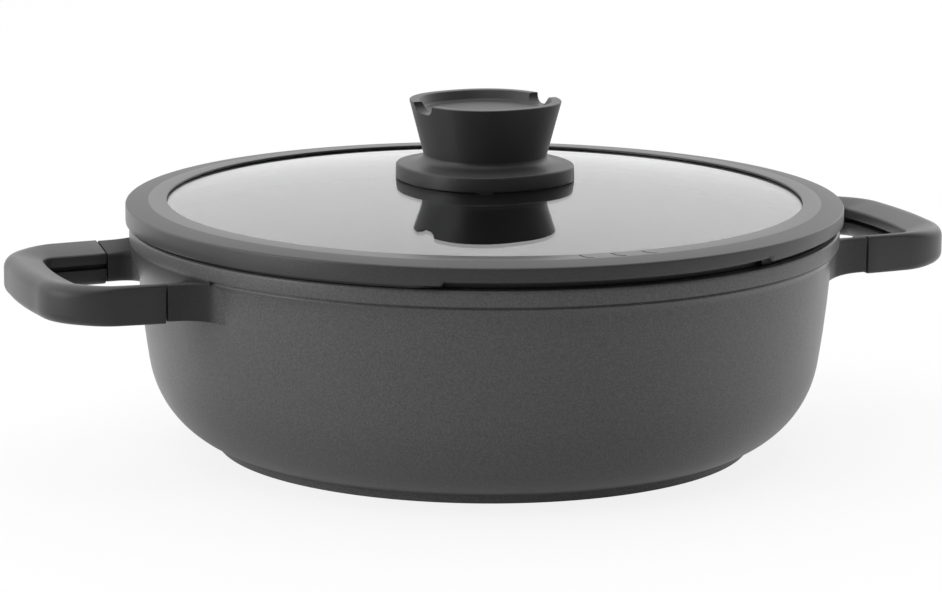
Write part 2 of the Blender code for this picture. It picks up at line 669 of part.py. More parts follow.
def notch_cutter():
    """Channel along the knob's own X, a spoon rest across the rim of the dish."""
    floor = DISH_FLOOR_Z + NOTCH_FLOOR_STEP
    half, high = NOTCH_W / 2, KNOB_TOP_Z + DISH_DEPTH
    section = [(-half, high)] + arc(-half + NOTCH_R, floor + NOTCH_R, NOTCH_R, 180, 270, 5)
    section += arc(half - NOTCH_R, floor + NOTCH_R, NOTCH_R, 270, 360, 5) + [(half, high)]
    turn = Matrix.Rotation(math.radians(KNOB_TURN), 3, "Z")
    rings = [[turn @ Vector((x, y, z)) for y, z in section] for x in (-FLANGE_A, FLANGE_A)]
    return lofted("notch_cutter", rings, None, cutters)


knob_grip = squircle_body("knob_grip", knob_grip_profile(), rubber)
boolean(knob_grip, notch_cutter(), "DIFFERENCE")

# Hardware under the knob, from the glass up
glass_top_z = dome(GLASS_HOLE_R)
gasket_z = glass_top_z + GAP
pocket_z = gasket_z + GASKET_T + GAP
insert_z = pocket_z + GAP
insert_hole_z = insert_z + INSERT_L + GAP
gasket_r = GASKET_INNER_R + GASKET_W
core_profile = core_outline(0.0)
core_profile += [(CORE_FLANGE_A, CORE_BOTTOM_Z), (gasket_r + GASKET_POCKET_GAP, CORE_BOTTOM_Z),
                 (gasket_r + GASKET_POCKET_GAP, pocket_z), (INSERT_R + GAP, pocket_z),
                 (INSERT_R + GAP, insert_hole_z), (0.0, insert_hole_z + CORE_EDGE)]
squircle_body("knob_core", core_profile, phenolic)


def ring(name, inner, outer, low, high, mat):
    profile = [(inner, high), (outer, high), (outer, low), (inner, low)]
    return turned(name, profile, mat, SMALL_STEPS, closed=True)


ring("knob_insert", BORE_R, INSERT_R, insert_z, insert_z + INSERT_L, brass)
ring("knob_gasket", GASKET_INNER_R, gasket_r, gasket_z, gasket_z + GASKET_T, clear_rubber)

# Hardware under the glass, from the glass down
bush_top = glass_top_z - GAP
bush_seat = dome(GLASS_HOLE_R, GLASS_T) - GAP
bush_low = bush_seat - BUSH_FLANGE_T
bush_flange_r = BUSH_R + BUSH_FLANGE_W
bush_profile = [(BORE_R, bush_top), (BUSH_R, bush_top), (BUSH_R, bush_seat), (bush_flange_r, bush_seat),
                (bush_flange_r, bush_low), (BORE_R, bush_low)]
turned("glass_bushing", bush_profile, white_plastic, SMALL_STEPS, closed=True)
washer_low = bush_low - GAP - WASHER_T
ring("knob_washer", BORE_R, WASHER_R, washer_low, washer_low + WASHER_T, steel)

head_top = washer_low - GAP
head_low = head_top - SCREW_HEAD_H
screw_top = insert_z + SCREW_REACH
screw_profile = [(0.0, screw_top), (SCREW_R - SCREW_EDGE, screw_top), (SCREW_R, screw_top - SCREW_EDGE),
                 (SCREW_R, head_top), (SCREW_HEAD_R, head_top), (SCREW_HEAD_R, head_low + SCREW_DOME_H),
                 (SCREW_HEAD_R * 0.8, head_low + SCREW_DOME_H * 0.25), (SCREW_HEAD_R * 0.5, head_low),
                 (0.0, head_low)]
screw = turned("knob_screw", screw_profile, steel, SMALL_STEPS)


def box(name, sx, sy, low, high):
    bm = bmesh.new()
    bmesh.ops.create_cube(bm, size=1.0)
    bmesh.ops.scale(bm, vec=(sx, sy, high - low), verts=bm.verts)
    bmesh.ops.translate(bm, vec=(0.0, 0.0, (low + high) / 2), verts=bm.verts)
    mesh = bpy.data.meshes.new(name)
    bm.to_mesh(mesh)
    bm.free()
    return add_object(name, mesh, None, cutters)


for name, sx, sy in (("recess_x", RECESS_ARM * 2, RECESS_W), ("recess_y", RECESS_W, RECESS_ARM * 2)):
    boolean(screw, box(name, sx, sy, head_low - RECESS_DEPTH, head_low + RECESS_DEPTH), "DIFFERENCE")

for obj in list(cutters.objects):
    bpy.data.objects.remove(obj, do_unlink=True)

# Round faces are shaded smooth, edges stay crisp
for obj in parts.objects:
    obj.data.shade_smooth()
    obj.data.set_sharp_from_angle(angle=math.radians(30.0))
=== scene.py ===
import math

import bmesh
import bpy
from mathutils import Matrix, Vector


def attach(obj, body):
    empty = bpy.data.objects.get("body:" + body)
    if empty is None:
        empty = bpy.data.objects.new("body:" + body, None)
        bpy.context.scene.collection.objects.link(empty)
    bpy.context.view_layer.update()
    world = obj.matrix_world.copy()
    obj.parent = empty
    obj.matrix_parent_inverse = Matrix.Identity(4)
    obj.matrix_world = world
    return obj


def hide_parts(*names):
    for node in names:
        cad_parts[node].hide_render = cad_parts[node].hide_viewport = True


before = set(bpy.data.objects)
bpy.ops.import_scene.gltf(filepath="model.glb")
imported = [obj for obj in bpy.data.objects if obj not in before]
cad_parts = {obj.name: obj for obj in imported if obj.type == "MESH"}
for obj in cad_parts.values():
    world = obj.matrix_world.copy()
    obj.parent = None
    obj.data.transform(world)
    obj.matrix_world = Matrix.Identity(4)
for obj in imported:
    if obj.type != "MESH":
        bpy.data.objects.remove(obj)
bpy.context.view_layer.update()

scene = bpy.context.scene
MM = 0.001

# Sizes in millimetres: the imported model's, with edges, seams, lips and the vent set from the photograph

# Casting
BODY_H, MOUTH_R, COLLAR_R, COLLAR_Z = 91.6, 140.5, 145.8, 85.3
GROOVE_R, GROOVE_Z, SHOULDER_R, SHOULDER_Z, WALL_TOP_Z = 143.8, 84.75, 144.5, 83.7, 81.8
WALL_TOP_R, WALL_TAPER, WALL_BELLY, WALL_T = 142.9, 4.9, 0.7, 3.9
WALL_HEIGHTS, INSIDE_HEIGHTS = (72.0, 61.0, 50.0, 43.0), (50.0, 64.0, 76.0)
SEAT_Z, SEAT_SLOPE_H, FLOOR_Z, FLOOR_FLAT_R, INNER_CORNER_R = 86.0, 1.4, 6.8, 60.0, 30.0
KNEE_Z, KNEE_T, KNEE_PULL, FOOT_PULL, FOOT_ANGLE, KNEE_STEPS = 36.5, 5.6, 18.0, 12.0, 20.0, 24
FOOT_R, FOOT_H, FOOT_OVERHANG, DISC_R, DISC_T = 110.4, 3.5, 1.9, 100.0, 1.0
GAP = 0.3

# Loops, sleeves, lugs and web
LOOP_W, LOOP_BOW, BAR_INNER_X, HOLE_HALF_W, ARM_FLARE = 16.0, 3.2, 178.94, 33.25, 0.05
INNER_CORNER, OUTER_CORNER, SEAM_X = 6.0, 26.0, 151.9
LOOP_TOP_Z, LOOP_BOTTOM_Z, LOOP_DISH = 84.6, 68.7, 3.0
GRIP_TOP_R, GRIP_BOTTOM_R, GRIP_PALM_R, GRIP_INNER_EDGE, GRIP_T = 5.0, 4.6, 5.0, 0.9, 2.6
DISH_W, SEAM_SHARE, SEAM_RUN, CORE_OVERLAP = 10.0, 0.26, 16, 6.0
GAP_EDGE, EDGE_MARKS = 4, 5
SLIT_Z, SLIT_H = 76.3, 2.4
LUG_LIFT, LUG_INSET, LUG_SINK, LUG_FLARE_IN, LUG_FLARE_OUT, LUG_DROP = 0.7, 0.25, 1.2, 6.5, 8.7, 1.8
LUG_SHORT, LUG_EDGE_GROWTH, LUG_STEPS = 0.4, 5.0, 24
LUG_OUT_LEAD, FLARE_IN_POWER, FLARE_OUT_POWER = 0.75, 4.5, 2.8
LUG_END_BEVEL, SLEEVE_END_BEVEL = 0.3, 0.35
WEB_HALF_ANGLE, WEB_TOP_Z, WEB_BREAK_Z, WEB_FOOT_Z = 21.4, 88.3, 86.5, 84.1
WEB_OUT, WEB_IN, WEB_SINK, WEB_ROOT_R = 0.05, 0.25, 2.0, 141.5

# Lid
RIM_R, LIP_R, FACET_R = 147.3, 130.4, 138.0
RIM_TOP_Z, FACET_Z, LIP_Z, SKIRT_Z, RIM_SEAT_Z = 100.65, 101.85, 102.2, 93.45, 91.9
SKIRT_IN_R, SEAT_OUT_R, PLUG_R, PLUG_IN_R, PLUG_Z = 142.6, 142.3, 139.8, 136.9, 86.7
RIM_BITE, RIM_UNDER_T, LEDGE_H = 1.6, 1.9, 0.06
VENT_HALF_ANGLE, VENT_RISE, VENT_BEVEL, VENT_BEVEL_H = 28.05, 1.4, 0.6, 1.65
SKIRT_LIFT, LIFT_START, LIFT_RUN, LIFT_END, LIFT_FADE = 1.4, 10.0, 35.0, 125.0, 40.0
SKIRT_DROP, DROP_RUN, SEAT_FILL, FILL_RUN, BACK_FADE = 0.3, 40.0, 2.2, 4.0, 30.0
GLASS_R, GLASS_T, GLASS_HOLE_R, DOME_R = 138.1, 3.2, 5.0, 900.0
GLASS_COVER = 2.0
DOME_APEX_Z = FACET_Z - GLASS_COVER + DOME_R - math.sqrt(DOME_R ** 2 - GLASS_R ** 2)
STEAM_TURNS, STEAM_R, STEAM_REACH, STEAM_BEND = (-5.6, 0.0, 5.6), 131.6, 5.2, 1.1
STEAM_L, STEAM_W, STEAM_Z, STEAM_STEPS, CUTTER_H = 4.2, 0.7, 101.6, 12, 2.0

# Knob
KNOB_POWER, KNOB_TURN, KNOB_SIDES = 2.3, 8.8, 160
FLANGE_A, FLANGE_Z, FLANGE_TOP_Z, CORE_FLANGE_A = 35.4, 110.1, 116.1, 30.8
TOP_A, NECK_A, TOP_Z, NECK_Z = 30.1, 24.9, 142.3, 121.5
DISH_Z, DISH_DRAFT, KNOB_WALL, NOTCH_Z, NOTCH_W, NOTCH_R = 138.1, 2.0, 3.8, 138.3, 15.0, 4.6
DISH_FLOOR_A, WAIST_IN, WAIST_DROP, COVE_END, COVE_STEPS = 8.0, 0.55, 1.8, 2.2, 12
CORE_TOP_Z, CORE_WALL, CORE_CHAMFER, CORE_FLANGE_LIFT, CORE_FLANGE_T = 134.7, 3.1, 1.1, 1.4, 2.0


def eased(t):
    t = min(max(t, 0.0), 1.0)
    return t * t * (3 - 2 * t)


def verts_in(made):
    """The verts in what an extrusion made."""
    return [g for g in made if isinstance(g, bmesh.types.BMVert)]


def extruded(bm, ring):
    """Extrudes a chain of edges, still in place, and gives the new verts and the new chain."""
    made = bmesh.ops.extrude_edge_only(bm, edges=ring)["geom"]
    verts = verts_in(made)
    fresh = set(verts)
    return verts, [g for g in made if isinstance(g, bmesh.types.BMEdge) and set(g.verts) <= fresh]


def outline(corners, closed=False):
    """A wire in the XZ plane. A corner is (x, z), with a setback and segments where it is rounded,
    and a number that marks the points of its rounding."""
    bm = bmesh.new()
    edge = bm.verts.layers.int.new("edge")
    verts = [bm.verts.new((c[0] * MM, 0.0, c[1] * MM)) for c in corners]
    for i in range(0 if closed else 1, len(verts)):
        bm.edges.new((verts[i - 1], verts[i]))
    for vert, corner in zip(verts, corners):
        if len(corner) > 2:
            known = set(bm.verts)
            bmesh.ops.bevel(bm, geom=[vert], offset=corner[2] * MM, offset_type="OFFSET",
                            segments=corner[3], profile=0.5, affect="VERTICES", material=-1)
            for v in bm.verts:
                if v not in known:
                    v[edge] = corner[4] if len(corner) > 4 else 0
    return bm


def turned(corners, steps, closed=False):
    bm = outline(corners, closed)
    bmesh.ops.spin(bm, geom=bm.verts[:] + bm.edges[:], axis=(0, 0, 1), cent=(0, 0, 0),
                   angle=2 * math.pi, steps=steps, use_merge=True)
    bmesh.ops.remove_doubles(bm, verts=bm.verts, dist=1e-6)
    bmesh.ops.recalc_face_normals(bm, faces=bm.faces)
    return bm


def joined(bm, other):
    """Adds the shells of one bmesh to another."""
    mesh = bpy.data.meshes.new("shell")
    other.to_mesh(mesh)
    other.free()
    bm.from_mesh(mesh)
    bpy.data.meshes.remove(mesh)


def capped(bm, ring):
    return bmesh.ops.contextual_create(bm, geom=ring)["faces"]


def swept(bm, places, drops=None, shares=None, growth=None):
    """Draws the wire in bm along a row of places and gives its two end faces. Each place holds a
    matrix for the wire's half next to the finger gap and one for its outer half. A drop lowers each
    half's underside, a share shrinks the roundings towards their corners, and a growth widens the
    top edge at the finger gap."""
    half = bm.verts.layers.int.new("half")
    low = bm.verts.layers.int.new("low")
    edge = bm.verts.layers.int["edge"]
    top = max(v.co.z for v in bm.verts)
    width, bottom = LOOP_W * MM, LOOP_BOTTOM_Z * MM
    corners = ((width, top, 0.0), (width, bottom, 0.0), (0.0, bottom, 0.5),
               (0.0, top - LOOP_DISH * MM, 0.0))
    for v in bm.verts:
        v[half] = int(v.co.x > width / 2)
        v[low] = int(v.co.z < SLIT_Z * MM)
    verts, ring = bm.verts[:], bm.edges[:]
    first, before, dropped, share, grown = ring, (Matrix(), Matrix()), (0.0, 0.0), 1.0, 1.0
    for step, place in enumerate(places):
        if step:
            verts, ring = extruded(bm, ring)
        drop = drops[step] if drops else (0.0, 0.0)
        for side in (0, 1):
            under = [v for v in verts if v[low] and v[half] == side]
            bmesh.ops.translate(bm, vec=(0, 0, dropped[side] * MM), verts=under)
            for k in range(EDGE_MARKS):
                shrink = Matrix()
                if k and shares:
                    u, z, least = corners[k - 1]
                    corner = Matrix.Translation((u, 0, z))
                    now, then = (least + (1.0 - least) * s for s in (shares[step], share))
                    if k == GAP_EDGE:
                        now, then = growth[step] if growth else 1.0, grown
                    shrink = corner @ Matrix.Scale(now / then, 4) @ corner.inverted()
                bmesh.ops.transform(bm, matrix=place[side] @ shrink @ before[side].inverted(),
                                    verts=[v for v in verts if v[half] == side and v[edge] == k])
            bmesh.ops.translate(bm, vec=(0, 0, -drop[side] * MM), verts=under)
        before, dropped, share = place, drop, shares[step] if shares else 1.0
        grown = growth[step] if growth else 1.0
    ends = capped(bm, first) + capped(bm, ring)
    bmesh.ops.recalc_face_normals(bm, faces=bm.faces)
    return ends


def piece(bm, name, body, node, finish, crease=32.0):
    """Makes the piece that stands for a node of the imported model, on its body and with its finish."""
    mesh = bpy.data.meshes.new(name)
    bm.to_mesh(mesh)
    bm.free()
    mesh.shade_smooth()
    mesh.set_sharp_from_angle(angle=math.radians(crease))
    mesh.materials.append(finish)
    obj = bpy.data.objects.new(name, mesh)
    scene.collection.objects.link(obj)
    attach(obj, body)
    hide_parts(node)


def cut(bm, tool):
    """Takes the tool's shape out of bm and gives the result. Both are used up."""
    objs = []
    for i, source in enumerate((bm, tool)):
        mesh = bpy.data.meshes.new("cut_%d" % i)
        source.to_mesh(mesh)
        source.free()
        objs.append(bpy.data.objects.new("cut_%d" % i, mesh))
        scene.collection.objects.link(objs[-1])
    work, knife = objs
    mod = work.modifiers.new("cut", "BOOLEAN")
    mod.operation, mod.solver, mod.object = "DIFFERENCE", "EXACT", knife
    bpy.context.view_layer.update()
    graph = bpy.context.evaluated_depsgraph_get()
    mesh = bpy.data.meshes.new_from_object(work.evaluated_get(graph))
    result = bmesh.new()
    result.from_mesh(mesh)
    for obj in objs:
        old = obj.data
        bpy.data.objects.remove(obj, do_unlink=True)
        bpy.data.meshes.remove(old)
    bpy.data.meshes.remove(mesh)
    bmesh.ops.remove_doubles(result, verts=result.verts, dist=1e-6)
    bmesh.ops.recalc_face_normals(result, faces=result.faces)
    return result


# Casting
def wall_outer(z):
    """The wall's radius outside, with its taper and belly."""
    share = (z - KNEE_Z) / (COLLAR_Z - KNEE_Z)
    return WALL_TOP_R - WALL_TAPER * (1.0 - share) + WALL_BELLY * 4.0 * share * (1.0 - share)


def vessel():
    """The turned part of the casting: floor, wall, mouth, collar, knee and foot."""
    knee = Vector((wall_outer(KNEE_Z), KNEE_Z))
    foot = Vector((FOOT_R + FOOT_OVERHANG, FOOT_H + GAP))
    down = Vector(((WALL_TAPER + 4.0 * WALL_BELLY) / (COLLAR_Z - KNEE_Z), 1.0)).normalized()
    leave = Vector((math.cos(math.radians(FOOT_ANGLE)), math.sin(math.radians(FOOT_ANGLE))))
    a, b = knee - down * KNEE_PULL, foot + leave * FOOT_PULL
    curve = []
    for i in range(1, KNEE_STEPS + 1):
        t = i / KNEE_STEPS
        p = knee * (1 - t) ** 3 + a * 3 * (1 - t) ** 2 * t + b * 3 * (1 - t) * t ** 2 + foot * t ** 3
        curve.append((p.x, p.y))
    inner_x = wall_outer(KNEE_Z) - KNEE_T
    wall = [(wall_outer(z), z) for z in WALL_HEIGHTS + (KNEE_Z,)]
    inside = [(wall_outer(z) - WALL_T, z) for z in INSIDE_HEIGHTS + (SEAT_Z - SEAT_SLOPE_H,)]
    return turned(
        [(0.0, FLOOR_Z), (FLOOR_FLAT_R, FLOOR_Z), (inner_x, FLOOR_Z, INNER_CORNER_R, 16)] + inside
        + [(MOUTH_R, SEAT_Z, 0.4, 2), (MOUTH_R, BODY_H, 0.6, 3), (COLLAR_R, BODY_H, 1.1, 5),
           (COLLAR_R, COLLAR_Z, 0.4, 4), (GROOVE_R, GROOVE_Z, 0.12, 2), (SHOULDER_R, SHOULDER_Z, 0.5, 4),
           (wall_outer(WALL_TOP_Z), WALL_TOP_Z, 1.2, 6)] + wall + curve
        + [(FOOT_R, FOOT_H + GAP, 0.25, 2), (FOOT_R, 0.0, 0.4, 3), (DISC_R + GAP, 0.0, 0.3, 2),
           (DISC_R + GAP, DISC_T + GAP), (0.0, DISC_T + GAP)], 240)


# Loops in plan: the line of the finger gap and the outer line
def inner_y(x):
    return HOLE_HALF_W + (SEAM_X - x) * ARM_FLARE


def outer_y(x):
    return inner_y(x) + LOOP_W


def bow(y):
    return LOOP_BOW * (1.0 - (y / HOLE_HALF_W) ** 2)


def corner_centre(bar_x, side_y, radius):
    y = side_y(bar_x) - radius
    x = bar_x + bow(y) - radius
    return x, side_y(x) - radius


def places(points, side):
    """Turns pairs of an inner and an outer point in plan into the two places that a sweep needs."""
    out = []
    for (ix, iy), (ox, oy) in points:
        inner = Vector((side * ix, iy, 0.0)) * MM
        outer = Vector((side * ox, oy, 0.0)) * MM
        across = (outer - inner).normalized()
        along = Vector((0, 0, 1)).cross(across)
        turn = Matrix((across, along, (0, 0, 1))).transposed().to_4x4()
        out.append((Matrix.Translation(inner) @ turn,
                    Matrix.Translation(outer - across * LOOP_W * MM) @ turn))
    return out


def loop_points(start_x):
    """Pairs of points from one seam round the bar to the other."""
    bar_outer = BAR_INNER_X + LOOP_W
    cix, ciy = corner_centre(BAR_INNER_X, inner_y, INNER_CORNER)
    cox, coy = corner_centre(bar_outer, outer_y, OUTER_CORNER)
    half = []
    for share in (0.0, 0.25, 0.5, 0.75):
        x = start_x + (cox - start_x) * share
        half.append(((x, inner_y(x)), (x, outer_y(x))))
    for i in range(25):
        a = math.radians(90 - i * 88 / 24)
        half.append(((cix + INNER_CORNER * math.cos(a), ciy + INNER_CORNER * math.sin(a)),
                     (cox + OUTER_CORNER * math.cos(a), coy + OUTER_CORNER * math.sin(a))))
    for t in (0.85, 0.7, 0.55, 0.4, 0.25, 0.1):
        half.append(((BAR_INNER_X + bow(ciy * t), ciy * t), (bar_outer + bow(coy * t), coy * t)))
    return half + [((i[0], -i[1]), (o[0], -o[1])) for i, o in reversed(half)]


def lug_points(flip):
    """From inside the wall out to the seam, opening into the wall with a hollow curve."""
    seam = SEAM_X - GAP - LUG_SHORT
    root = wall_outer(LOOP_BOTTOM_Z) - LUG_SINK
    y_in, y_out = inner_y(root) - LUG_FLARE_IN, outer_y(root) + LUG_FLARE_OUT
    x_in, x_out = math.sqrt(root ** 2 - y_in ** 2), math.sqrt(root ** 2 - y_out ** 2)
    points, drops, growth = [], [], []
    for i in range(LUG_STEPS + 1):
        t = i / LUG_STEPS
        t_out = t ** LUG_OUT_LEAD
        xi, xo = x_in + (seam - x_in) * t, x_out + (seam - x_out) * t_out
        yi = inner_y(xi) + LUG_INSET - LUG_FLARE_IN * (1 - t) ** FLARE_IN_POWER
        yo = outer_y(xo) - LUG_INSET + LUG_FLARE_OUT * (1 - t_out) ** FLARE_OUT_POWER
        points.append(((xi, flip * yi), (xo, flip * yo)))
        drops.append((-LUG_LIFT, LUG_DROP * (1 - t_out) ** FLARE_OUT_POWER - LUG_LIFT))
        growth.append(1.0 + LUG_EDGE_GROWTH * (1 - t) ** 2)
    return points, drops, growth


def edge_shares(count):
    """How full the rounding is at each place round a loop: least at the seams, full on the bar."""
    return [SEAM_SHARE + (1.0 - SEAM_SHARE) * eased(min(k, count - 1 - k) / SEAM_RUN)
            for k in range(count)]


def top_line(u):
    return LOOP_TOP_Z - LOOP_DISH * (1.0 - u / DISH_W)


def outer_skin(lower=0.0):
    """Outside of a loop: dished top, then the rounded outer edges, underside and palm edge."""
    high = LOOP_TOP_Z - lower
    return [(0.0, top_line(0.0) - lower, GRIP_INNER_EDGE, 5, 4), (DISH_W, high, 0.95, 3, 1),
            (LOOP_W, high, GRIP_TOP_R, 9, 1), (LOOP_W, LOOP_BOTTOM_Z, GRIP_BOTTOM_R, 8, 2),
            (0.0, LOOP_BOTTOM_Z, GRIP_PALM_R, 8, 3)]


def core_skin(inset):
    """Outside of the cast bar, the given distance inside the sleeve's skin."""
    low = LOOP_BOTTOM_Z + inset
    return [(inset, top_line(inset) - inset, 1.1, 2), (LOOP_W - inset, LOOP_TOP_Z - inset, 1.6, 3),
            (LOOP_W - inset, low, 1.1, 2), (inset, low, 1.1, 2)]


def softened(bm, faces, width):
    """Bevels the edges round some end faces."""
    bmesh.ops.bevel(bm, geom=list({e for f in faces for e in f.edges}), offset=width * MM,
                    offset_type="OFFSET", segments=2, profile=0.5, affect="EDGES", material=-1)


def casting():
    """The vessel with its two cast bars, four lugs and two webs, as overlapping shells."""
    bm = vessel()
    for side in (1, -1):
        core = outline(core_skin(GRIP_T + GAP), closed=True)
        swept(core, places(loop_points(SEAM_X - CORE_OVERLAP), side))
        joined(bm, core)
        for flip in (1, -1):
            points, drops, growth = lug_points(flip)
            lug = outline(outer_skin(LUG_INSET), closed=True)
            ends = swept(lug, places(points, side), drops, [SEAM_SHARE] * len(points), growth)
            softened(lug, ends[-1:], LUG_END_BEVEL)
            joined(bm, lug)
        joined(bm, web(side))
    return bm


def web(side):
    """Between the two lugs the collar's face runs down into the wall."""
    low, face = LOOP_BOTTOM_Z + LUG_LIFT, COLLAR_R + WEB_OUT
    bm = outline([(WEB_ROOT_R, WEB_TOP_Z), (face, WEB_TOP_Z), (face, WEB_BREAK_Z, 0.8, 3),
                  (face - WEB_IN, WEB_FOOT_Z, 1.2, 4), (wall_outer(low), low),
                  (wall_outer(low) - WEB_SINK, low - WEB_SINK), (WEB_ROOT_R - 0.5, COLLAR_Z)],
                 closed=True)
    wide = math.radians(WEB_HALF_ANGLE)
    start = (0.0 if side == 1 else math.pi) - wide
    bmesh.ops.rotate(bm, verts=bm.verts, cent=(0, 0, 0), matrix=Matrix.Rotation(start, 3, "Z"))
    first = bm.edges[:]
    last = bmesh.ops.spin(bm, geom=bm.verts[:] + bm.edges[:], axis=(0, 0, 1), cent=(0, 0, 0),
                          angle=2 * wide, steps=24)["geom_last"]
    capped(bm, first)
    capped(bm, [g for g in last if isinstance(g, bmesh.types.BMEdge)])
    bmesh.ops.recalc_face_normals(bm, faces=bm.faces)
    return bm


def grip(side):
    """The rubber sleeve: outer skin and hollow in one closed wire, slit along the finger side."""
    up, down = SLIT_Z + SLIT_H / 2, SLIT_Z - SLIT_H / 2
    hollow = [(GRIP_T, down)] + core_skin(GRIP_T)[::-1] + [(GRIP_T, up)]
    bm = outline([(0.0, up, 0.15, 2)] + outer_skin() + [(0.0, down, 0.15, 2)] + hollow, closed=True)
    points = loop_points(SEAM_X)
    ends = swept(bm, places(points, side), shares=edge_shares(len(points)))
    softened(bm, ends, SLEEVE_END_BEVEL)
    return bm


# Lid
def dome(r, under=0.0):
    """Height of the glass's top at a radius, or of a surface under it."""
    return DOME_APEX_Z - under - (DOME_R - math.sqrt(DOME_R ** 2 - r ** 2))


def glass_disc():
    radii = [GLASS_HOLE_R + (GLASS_R - GLASS_HOLE_R) * i / 40 for i in range(1, 40)]
    top = [(GLASS_HOLE_R, dome(GLASS_HOLE_R), 0.3, 2)] + [(r, dome(r)) for r in radii]
    under = [(r, dome(r, GLASS_T)) for r in reversed(radii)]
    edge = [(GLASS_R, dome(GLASS_R), 0.6, 4), (GLASS_R, dome(GLASS_R, GLASS_T), 0.6, 4)]
    return turned(top + edge + under + [(GLASS_HOLE_R, dome(GLASS_HOLE_R, GLASS_T), 0.3, 2)],
                  240, closed=True)


def rubber_rim():
    """The turned ring of rubber. Its seat and skirt rise over the vent. The skirt also stands a
    little higher on the vent's right, and lower with a shallower recess on its left."""
    bite = LIP_R + RIM_BITE
    groove_r = GLASS_R + GAP
    ledge_z = SKIRT_Z + VENT_RISE + VENT_BEVEL_H
    bm = turned(
        [(LIP_R, LIP_Z, 0.3, 3), (FACET_R, FACET_Z, 0.6, 3), (RIM_R, RIM_TOP_Z, 0.7, 5),
         (RIM_R, ledge_z), (RIM_R, ledge_z - LEDGE_H), (RIM_R, SKIRT_Z, 0.3, 3),
         (SKIRT_IN_R, SKIRT_Z, 0.2, 2), (SEAT_OUT_R, RIM_SEAT_Z, 0.2, 2),
         (PLUG_R + 0.3, RIM_SEAT_Z), (PLUG_R, RIM_SEAT_Z - 0.3), (PLUG_R, PLUG_Z, 0.6, 4),
         (PLUG_IN_R, PLUG_Z, 0.6, 4), (PLUG_IN_R, RIM_SEAT_Z, 0.4, 2),
         (bite, dome(bite, GLASS_T) - GAP - RIM_UNDER_T, 0.3, 2),
         (bite, dome(bite, GLASS_T) - GAP), (groove_r, dome(GLASS_R, GLASS_T) - GAP),
         (groove_r, dome(GLASS_R) + GAP), (LIP_R, dome(LIP_R) + GAP)], 720, closed=True)
    for v in bm.verts:
        r, z = math.hypot(v.co.x, v.co.y) / MM, v.co.z / MM
        angle = math.degrees(math.atan2(v.co.x, -v.co.y))
        lift = eased((angle - LIFT_START) / LIFT_RUN) * eased((LIFT_END - angle) / LIFT_FADE) * SKIRT_LIFT
        past_vent, to_back = -angle - VENT_HALF_ANGLE, eased((angle + 180.0) / BACK_FADE)
        lift -= eased(past_vent / DROP_RUN) * to_back * SKIRT_DROP
        in_skirt = r > SEAT_OUT_R + 0.15 and z < SKIRT_Z + 0.5
        if SEAT_OUT_R - 0.3 < r < SKIRT_IN_R + 0.3 and z < SKIRT_Z + 0.1:
            fill = eased(past_vent / FILL_RUN) * to_back * SEAT_FILL
            v.co += Vector((v.co.x, v.co.y, 0.0)) * fill / r
        if abs(angle) < VENT_HALF_ANGLE - 0.3:
            if in_skirt:
                inward = VENT_BEVEL if r > RIM_R - 1.0 else 0.0
                rise = (VENT_RISE + lift) * MM
                v.co += Vector((-v.co.x * inward / r, -v.co.y * inward / r, rise))
            elif r > PLUG_R + 0.2 and RIM_SEAT_Z - 0.1 < z < SKIRT_Z:
                v.co.z += (SKIRT_Z - RIM_SEAT_Z + VENT_RISE + lift) * MM
            elif r > RIM_R - 0.1 and abs(z - ledge_z + LEDGE_H) < 0.02:
                v.co -= Vector((v.co.x, v.co.y, 0.0)) * 0.8 * VENT_BEVEL / r
        elif in_skirt:
            v.co.z += lift * MM
    tool = steam_stroke(STEAM_TURNS[0])
    for turn in STEAM_TURNS[1:]:
        joined(tool, steam_stroke(turn))
    return cut(bm, tool)


def steam_stroke(turn):
    """Cutter for one line of steam: out over the inner facet, then bending round to the right."""
    bm = bmesh.new()
    ring = [bm.edges.new([bm.verts.new((side * STEAM_W / 2 * MM, 0, 0)) for side in (-1, 1)])]
    verts, before = bm.verts[:], Matrix()
    for i in range(STEAM_STEPS + 1):
        along = STEAM_L * (i / STEAM_STEPS) ** 1.6
        steep = math.exp(-STEAM_BEND * along)
        heading = Matrix.Rotation(-math.atan(STEAM_REACH * STEAM_BEND * steep) - math.pi / 2, 4, "Z")
        spot = Vector((along, -STEAM_R - STEAM_REACH * (1 - steep), STEAM_Z)) * MM
        place = Matrix.Translation(spot) @ heading
        if i:
            verts, ring = extruded(bm, ring)
        bmesh.ops.transform(bm, matrix=place @ before.inverted(), verts=verts)
        before = place
    made = bmesh.ops.extrude_face_region(bm, geom=bm.faces[:])["geom"]
    bmesh.ops.translate(bm, vec=(0, 0, CUTTER_H * MM), verts=verts_in(made))
    bmesh.ops.transform(bm, matrix=Matrix.Rotation(math.radians(turn), 4, "Z"), verts=bm.verts)
    bmesh.ops.recalc_face_normals(bm, faces=bm.faces)
    return bm


# Knob
def rounded_square(bm, half, z):
    """One closed row of the knob's outline."""
    row = bmesh.ops.create_circle(bm, cap_ends=False, segments=KNOB_SIDES, radius=half * MM)["verts"]
    for v in row:
        c, s = v.co.x / (half * MM), v.co.y / (half * MM)
        v.co *= (abs(c) ** KNOB_POWER + abs(s) ** KNOB_POWER) ** (-1.0 / KNOB_POWER)
    turn = Matrix.Translation((0, 0, z * MM)) @ Matrix.Rotation(math.radians(KNOB_TURN), 4, "Z")
    bmesh.ops.transform(bm, matrix=turn, verts=row)
    return row


